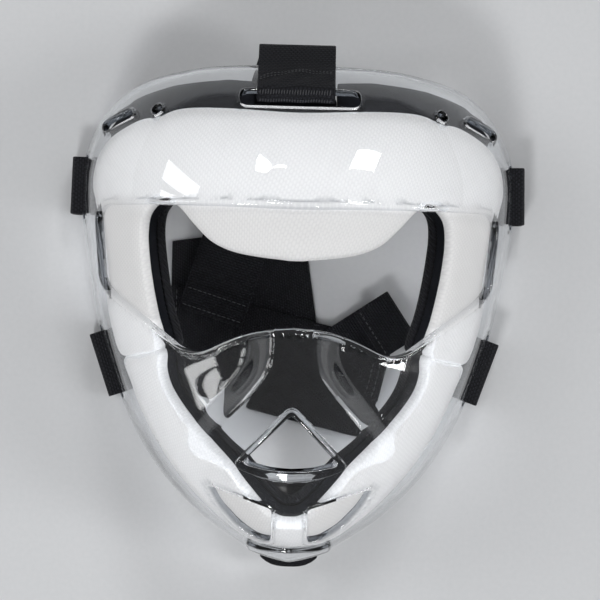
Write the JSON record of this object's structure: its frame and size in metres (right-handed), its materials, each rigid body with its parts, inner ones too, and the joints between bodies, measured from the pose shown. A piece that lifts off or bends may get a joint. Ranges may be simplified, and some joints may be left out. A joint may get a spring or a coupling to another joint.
{
  "type": "field hockey face mask",
  "caption": "Clear moulded face mask with a wide eye opening, padded brow and jaw cushions and a folded webbing head harness.",
  "frame": {"origin": "middle of the whole mask seen from the front, on the plane that its side strap loops rest on", "axes": "+X to the right as seen from the front, +Y up the face to the forehead, +Z out of the face, away from what it lies on"},
  "size_m": [0.231, 0.2646, 0.1142],
  "materials": {
    "clear_plastic": "clear moulded polycarbonate, glossy",
    "white_knit": "brushed white knit over foam",
    "black_foam": "closed-cell foam, matt black",
    "black_webbing": "woven black webbing",
    "black_elastic": "ribbed black elastic",
    "hook_tape": "black hook-and-loop tape"
  },
  "bodies": {
    "mask": {"face_shell": "clear_plastic", "forehead_pad_cover": "white_knit", "forehead_pad_foam": "black_foam", "forehead_pad_backing": "black_foam", "jaw_pad_cover": "white_knit", "jaw_pad_foam": "black_foam", "jaw_pad_backing": "black_foam", "crown_strap_loop": "black_webbing", "chin_tab": "black_webbing", "left_temple_strap_loop": "black_webbing", "right_temple_strap_loop": "black_webbing", "left_jaw_strap_loop": "black_webbing", "right_jaw_strap_loop": "black_webbing"},
    "head_harness": {"crown_strap": "black_webbing", "rear_band": "black_elastic", "rear_band_end": "black_webbing"},
    "left_temple_strap": {"left_temple_strap": "black_elastic"},
    "left_temple_tail": {"left_temple_strap_tail": "hook_tape"},
    "right_temple_strap": {"right_temple_strap": "black_elastic"},
    "right_temple_tail": {"right_temple_strap_tail": "hook_tape"},
    "left_jaw_strap": {"left_jaw_strap": "black_elastic"},
    "left_jaw_tail": {"left_jaw_strap_tail": "hook_tape"},
    "right_jaw_strap": {"right_jaw_strap": "black_elastic"},
    "right_jaw_tail": {"right_jaw_strap_tail": "hook_tape"}
  },
  "joints": [
    {"name": "harness_swing", "type": "hinge", "parent": "mask", "child": "head_harness", "pos_m": [-0.002, 0.13148, 0.0429], "axis": [1, 0, 0], "range_deg": [0, 120]},
    {"name": "left_temple_swing", "type": "hinge", "parent": "mask", "child": "left_temple_strap", "pos_m": [-0.1015, 0.06108, 0.0003], "axis": [0.0215, 0.9998, 0], "range_deg": [0, 90]},
    {"name": "left_temple_peel", "type": "hinge", "parent": "left_temple_strap", "child": "left_temple_tail", "pos_m": [-0.07151, 0.06044, 0.0022], "axis": [0.0215, 0.9998, 0], "range_deg": [0, 90]},
    {"name": "right_temple_swing", "type": "hinge", "parent": "mask", "child": "right_temple_strap", "pos_m": [0.1015, 0.06108, 0.0003], "axis": [0.0215, -0.9998, 0], "range_deg": [0, 90]},
    {"name": "right_temple_peel", "type": "hinge", "parent": "right_temple_strap", "child": "right_temple_tail", "pos_m": [0.07151, 0.06044, 0.0022], "axis": [0.0215, -0.9998, 0], "range_deg": [0, 90]},
    {"name": "left_jaw_swing", "type": "hinge", "parent": "mask", "child": "left_jaw_strap", "pos_m": [-0.08568, -0.02548, 0.0003], "axis": [-0.327, 0.945, 0], "range_deg": [0, 90]},
    {"name": "left_jaw_peel", "type": "hinge", "parent": "left_jaw_strap", "child": "left_jaw_tail", "pos_m": [-0.07151, -0.02057, 0.0022], "axis": [-0.327, 0.945, 0], "range_deg": [0, 90]},
    {"name": "right_jaw_swing", "type": "hinge", "parent": "mask", "child": "right_jaw_strap", "pos_m": [0.08568, -0.02548, 0.0003], "axis": [-0.327, -0.945, 0], "range_deg": [0, 90]},
    {"name": "right_jaw_peel", "type": "hinge", "parent": "right_jaw_strap", "child": "right_jaw_tail", "pos_m": [0.07151, -0.02057, 0.0022], "axis": [-0.327, -0.945, 0], "range_deg": [0, 90]}
  ]
}
